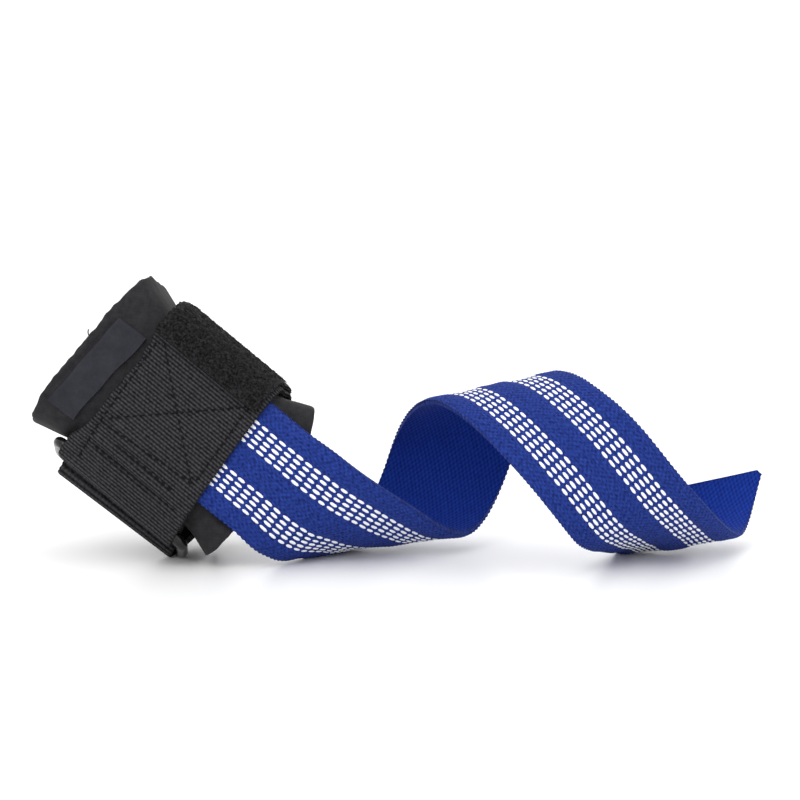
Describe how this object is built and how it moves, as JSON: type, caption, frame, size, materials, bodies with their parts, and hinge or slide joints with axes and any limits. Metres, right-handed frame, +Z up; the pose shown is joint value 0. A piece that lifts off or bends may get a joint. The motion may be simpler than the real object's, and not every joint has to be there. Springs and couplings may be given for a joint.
{
  "type": "lifting strap",
  "caption": "Padded wrist cuff with a hook-and-loop band drawn through a ring, and a woven pull strap lying in an open coil.",
  "frame": {"origin": "middle of the object's box on the floor it lies on", "axes": "+X along the strap from the cuff to its free end, +Y away from the viewer, +Z up"},
  "size_m": [0.2444, 0.0754, 0.0929],
  "materials": {
    "strap_webbing": "woven, royal blue with rows of white dashes",
    "pad_foam": "matt knit-faced foam",
    "patch": "smooth satin, plain",
    "band_webbing": "ribbed woven tape",
    "loop_pile": "fuzzy loop pile",
    "hook_plastic": "stiff hook tape",
    "ring_metal": "glossy black coating"
  },
  "bodies": {
    "root": {"lifting_strap": "strap_webbing", "wrist_pad": "pad_foam", "pad_patch": "patch", "wrist_band": "band_webbing", "loop_tape": "loop_pile", "hook_tape": "hook_plastic", "cinch_ring": "ring_metal"}
  },
  "joints": []
}
